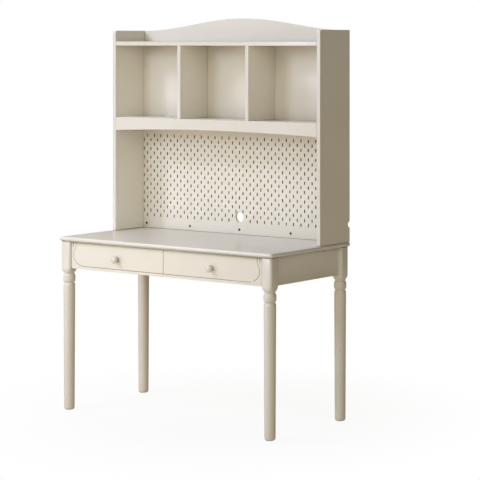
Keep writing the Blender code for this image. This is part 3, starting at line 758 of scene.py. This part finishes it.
def build_hutch_sides(finish):
    for side, _ in SIDES:
        node = f"hutch_side_{side}"
        low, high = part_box(node)
        outline = [(low.y, low.z), (high.y, low.z)]
        notch_steps = 20
        for k in range(notch_steps + 1):
            angle = math.pi * k / notch_steps
            across = high.y - NOTCH_RADIUS * math.sin(angle)
            outline.append((across, NOTCH_Z - NOTCH_RADIUS * math.cos(angle)))
        outline.append((high.y, high.z))
        corner_steps = 14
        for k in range(corner_steps + 1):
            angle = math.pi / 2 * (1 + k / corner_steps)
            across = low.y + SIDE_CORNER + SIDE_CORNER * math.cos(angle)
            outline.append((across, high.z - SIDE_CORNER + SIDE_CORNER * math.sin(angle)))
        mesh_data = slab(outline, "yz", low.x, high.x)
        made = piece(f"{node}_finished", mesh_data, finish, "desk")
        round_edges(made, SIDE_EDGE, 4)
        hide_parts(node)


def crest_height(x, rise):
    share = min(abs(x) / CREST_HALF_SPAN, 1.0)
    bell = (0.5 + 0.5 * math.cos(math.pi * share)) ** CREST_FULLNESS
    return CREST_EDGE_Z + rise * bell


def build_crest(finish):
    low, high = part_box("hutch_crest")
    rise = high.z - CREST_EDGE_Z
    outline = [(low.x, low.z), (high.x, low.z)]
    steps = 160
    for k in range(steps + 1):
        x = high.x + (low.x - high.x) * k / steps
        outline.append((x, crest_height(x, rise)))
    mesh_data = slab(outline, "xz", low.y, high.y)
    made = piece("hutch_crest_finished", mesh_data, finish, "desk")
    round_edges(made, CREST_EDGE, 4)
    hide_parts("hutch_crest")


def build_shelf_rail(finish):
    low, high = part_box("hutch_shelf_rail")
    outline = [(high.x, high.z), (low.x, high.z)]
    steps = 96
    for k in range(steps + 1):
        across = 2 * k / steps - 1
        outline.append((across * high.x, low.z + SHELF_RAIL_ARCH * (1 - across * across)))
    mesh_data = slab(outline, "xz", low.y, high.y)
    made = piece("hutch_shelf_rail_finished", mesh_data, finish, "desk")
    round_edges(made, SHELF_RAIL_EDGE, 4)
    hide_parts("hutch_shelf_rail")


def slot_outline(x, z):
    """An upright slot with half-round ends."""
    radius = SLOT_WIDTH / 2
    straight = SLOT_LENGTH / 2 - radius
    points = []
    for end in (0, 1):
        for k in range(7):
            angle = math.pi * (end + k / 6)
            lift = straight if end == 0 else -straight
            points.append((x + radius * math.cos(angle), z + lift + radius * math.sin(angle)))
    return points


def slot_centres():
    centres = []
    for row in range(SLOT_ROWS):
        z = LOWEST_SLOT_Z + row * PITCH / 2
        columns = SLOT_COLUMNS - 1 if row % 2 == 0 else SLOT_COLUMNS
        for column in range(columns):
            x = PITCH * (column - (columns - 1) / 2)
            if math.hypot(x, z - CABLE_HOLE_Z) >= CABLE_HOLE_RADIUS + SLOT_TO_HOLE:
                centres.append((x, z))
    return centres


def line_slots(mesh, core):
    """Gives the walls of the slots the board's cut core. The cable hole's wall is lacquered."""
    mesh.materials.append(core)
    edge = max(vertex.co.x for vertex in mesh.vertices) - 0.002
    lowest = LOWEST_SLOT_Z - SLOT_LENGTH
    highest = LOWEST_SLOT_Z + SLOT_ROWS * PITCH / 2
    for wall in mesh.polygons:
        at = wall.center
        is_side = abs(wall.normal.y) < 0.5
        among_slots = abs(at.x) < edge and lowest < at.z < highest
        near_hole = math.hypot(at.x, at.z - CABLE_HOLE_Z) < CABLE_HOLE_RADIUS + 0.001
        if is_side and among_slots and not near_hole:
            wall.material_index = 1


def build_pegboard(finish, core):
    low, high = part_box("pegboard_panel")
    outline = [(low.x, low.z), (high.x, low.z), (high.x, high.z), (low.x, high.z)]
    holes = [slot_outline(x, z) for x, z in slot_centres()]
    holes.append(circle(CABLE_HOLE_RADIUS, 48, (0.0, CABLE_HOLE_Z)))
    holes += [circle(SCREW_HOLE, 12, (x, PEG_SCREW_Z)) for x in PEG_SCREW_X]
    mesh_data = slab(outline, "xz", low.y, high.y, holes)
    made = piece("pegboard_panel_slotted", mesh_data, finish, "desk")
    line_slots(made.data, core)
    round_edges(made, PEG_SLOT_EDGE, 1, 50)
    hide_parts("pegboard_panel")


def finish_cad_boards(finishes):
    """The remaining CAD nodes keep their shape, and get their finish and eased edges."""
    slots = {row["node"]: row["material_slot"] for row in frame["record"]["subparts"]}
    widths = {"zinc_steel": STEEL_EDGE, "plywood": THIN_EDGE, "drawer_box": THIN_EDGE}
    for node, made in frame["nodes"].items():
        if made.hide_render:
            continue
        made.data.materials.clear()
        made.data.materials.append(finishes[slots[node]])
        weld = made.modifiers.new("weld", "WELD")
        weld.merge_threshold = 0.00001
        round_edges(made, widths.get(slots[node], BOARD_EDGE))


# Stage -------------------------------------------------------------------------------


def both_shaders(tree, first, second):
    both = tree.nodes.new("ShaderNodeAddShader")
    tree.links.new(first, both.inputs[0])
    tree.links.new(second, both.inputs[1])
    return both.outputs["Shader"]


def mixed_shaders(tree, share, first, second):
    mixed = tree.nodes.new("ShaderNodeMixShader")
    tree.links.new(share, mixed.inputs["Fac"])
    tree.links.new(first, mixed.inputs[1])
    tree.links.new(second, mixed.inputs[2])
    return mixed.outputs["Shader"]


def split_by_camera(tree, unseen, seen):
    """One shader for what the camera sees directly, and another for the light it gives."""
    rays = tree.nodes.new("ShaderNodeLightPath")
    return mixed_shaders(tree, rays.outputs["Is Camera Ray"], unseen, seen)


def glow(tree, colour):
    lit = tree.nodes.new("ShaderNodeEmission")
    lit.inputs["Color"].default_value = (*colour, 1.0)
    return lit.outputs["Emission"]


def floor_finish():
    """Matt and pale under the object, and plain white further away."""
    shader = Shader("studio_floor")
    tree = shader.tree
    surface = shader.surface
    surface.inputs["Base Color"].default_value = (*FLOOR_COLOUR, 1.0)
    surface.inputs["Roughness"].default_value = 0.9
    surface.inputs["Specular IOR Level"].default_value = 0.1
    length = tree.nodes.new("ShaderNodeVectorMath")
    length.operation = "LENGTH"
    tree.links.new(shader.place, length.inputs[0])
    fade = shader.ramp(length.outputs["Value"], *FLOOR_FADE, 0.90, 1.0)
    seen = mixed_shaders(tree, fade, surface.outputs["BSDF"], glow(tree, WHITE))
    bounce = tree.nodes.new("ShaderNodeBsdfDiffuse")
    bounce.inputs["Color"].default_value = (*FLOOR_BOUNCE, 1.0)
    unseen = both_shaders(tree, bounce.outputs["BSDF"], glow(tree, FLOOR_GLOW))
    output = next(n for n in tree.nodes if n.type == "OUTPUT_MATERIAL")
    tree.links.new(split_by_camera(tree, unseen, seen), output.inputs["Surface"])
    return shader.material


def make_floor():
    mesh_data = bmesh.new()
    bmesh.ops.create_grid(mesh_data, x_segments=1, y_segments=1, size=FLOOR_SIZE)
    mesh = bpy.data.meshes.new("studio_floor")
    mesh_data.to_mesh(mesh)
    mesh_data.free()
    floor = bpy.data.objects.new("studio_floor", mesh)
    bpy.context.scene.collection.objects.link(floor)
    mesh.materials.append(floor_finish())


def sky_lobe(tree, direction, turn, rise, tightness, colour):
    """One soft patch of sky, brightest at a bearing from the front and a height, in degrees."""
    turn, rise = math.radians(turn), math.radians(rise)
    facing = tree.nodes.new("ShaderNodeVectorMath")
    facing.operation = "DOT_PRODUCT"
    tree.links.new(direction, facing.inputs[0])
    flat = math.cos(rise)
    facing.inputs[1].default_value = (math.sin(turn) * flat, -math.cos(turn) * flat, math.sin(rise))
    ahead = tree.nodes.new("ShaderNodeMath")
    ahead.operation = "MAXIMUM"
    tree.links.new(facing.outputs["Value"], ahead.inputs[0])
    ahead.inputs[1].default_value = 0.0
    fall = tree.nodes.new("ShaderNodeMath")
    fall.operation = "POWER"
    tree.links.new(ahead.outputs["Value"], fall.inputs[0])
    fall.inputs[1].default_value = tightness
    patch = tree.nodes.new("ShaderNodeBackground")
    patch.inputs["Color"].default_value = (*colour, 1.0)
    tree.links.new(fall.outputs["Value"], patch.inputs["Strength"])
    return patch.outputs["Background"]


def make_world():
    """White to the camera. The light it gives comes in three soft patches.

    They are warm from the front right, cool from high at the front left, and warm from
    behind on the left.
    """
    world = bpy.data.worlds.new("studio")
    bpy.context.scene.world = world
    world.use_nodes = True
    tree = world.node_tree
    tree.nodes.clear()
    direction = tree.nodes.new("ShaderNodeTexCoord").outputs["Generated"]
    right = sky_lobe(tree, direction, turn=45, rise=10, tightness=8, colour=WARM_RIGHT)
    left = sky_lobe(tree, direction, turn=-35, rise=50, tightness=60, colour=COOL_LEFT)
    behind = sky_lobe(tree, direction, turn=-120, rise=45, tightness=8, colour=WARM_BEHIND)
    front = both_shaders(tree, right, left)
    ambient = both_shaders(tree, front, behind)
    plain = tree.nodes.new("ShaderNodeBackground")
    plain.inputs["Color"].default_value = (*WHITE, 1.0)
    chosen = split_by_camera(tree, ambient, plain.outputs["Background"])
    output = tree.nodes.new("ShaderNodeOutputWorld")
    tree.links.new(chosen, output.inputs["Surface"])


def studio_lamp(name, turn, height, side, power, colour):
    """A square soft lamp at a bearing from the front, with right positive, aimed over the desktop."""
    turn = math.radians(turn)
    place = Vector((LAMP_REACH * math.sin(turn), -LAMP_REACH * math.cos(turn), height))
    data = bpy.data.lights.new(name, "AREA")
    data.shape = "SQUARE"
    data.size = side
    data.energy = power
    data.color = colour
    lamp = bpy.data.objects.new(name, data)
    lamp.location = place
    lamp.rotation_euler = (Vector(LAMP_AIM) - place).to_track_quat("-Z", "Y").to_euler()
    bpy.context.scene.collection.objects.link(lamp)


def make_lights():
    """Two strong lamps stand high to the left, and two weak ones fill in from low down."""
    studio_lamp("lamp_front", turn=-20, height=2.2, side=1.0, power=35.5, colour=COOL_LAMP)
    studio_lamp("lamp_left", turn=-45, height=3.2, side=0.6, power=43, colour=COOL_LAMP)
    studio_lamp("fill_centre", turn=8, height=1.0, side=1.2, power=12, colour=WARM_LAMP)
    studio_lamp("fill_low", turn=-40, height=0.45, side=0.9, power=10.5, colour=WARM_LAMP)


def lens_shift(camera, path, value):
    """Shifts the lens only while the camera stands where it was put, so other views stay centred."""
    station = camera.location.x
    driver = camera.data.driver_add(path).driver
    driver.type = "SCRIPTED"
    at = driver.variables.new()
    at.name = "at"
    at.type = "TRANSFORMS"
    at.targets[0].id = camera
    at.targets[0].transform_type = "LOC_X"
    at.targets[0].transform_space = "WORLD_SPACE"
    driver.expression = f"{value:.5f} if fabs(at - {station:.5f}) < 0.001 else 0.0"


def make_camera():
    data = bpy.data.cameras.new("camera")
    data.lens = CAMERA_LENS
    data.sensor_width = 36.0
    data.clip_end = 200.0
    camera = bpy.data.objects.new("camera", data)
    camera.location = CAMERA_PLACE
    camera.rotation_euler = (math.pi / 2, 0.0, math.radians(CAMERA_TURN))
    bpy.context.scene.collection.objects.link(camera)
    bpy.context.scene.camera = camera
    lens_shift(camera, "shift_x", LENS_SHIFT[0])
    lens_shift(camera, "shift_y", LENS_SHIFT[1])


def main():
    finishes = make_finishes()
    cream = finishes["cream_lacquer"]
    build_desktop(finishes["desktop_lacquer"])
    build_legs(cream)
    for side, sign in SIDES:
        build_drawer_front(side, sign, finishes["front_lacquer"])
        build_front_frame(side, sign, finishes["front_lacquer"])
        build_knob(side, finishes["knob_lacquer"])
    build_pegboard_screws(finishes["black_screw"])
    for side, _ in SIDES:
        build_hutch_screws(side, finishes["zinc_steel"])
        build_knob_screw(side, finishes["zinc_steel"])
    build_hutch_sides(cream)
    build_crest(cream)
    build_shelf_rail(cream)
    build_pegboard(cream, finishes["fibreboard"])
    finish_cad_boards(finishes)
    make_floor()
    make_world()
    make_lights()
    make_camera()
    bpy.context.scene.view_settings.view_transform = "Standard"


main()
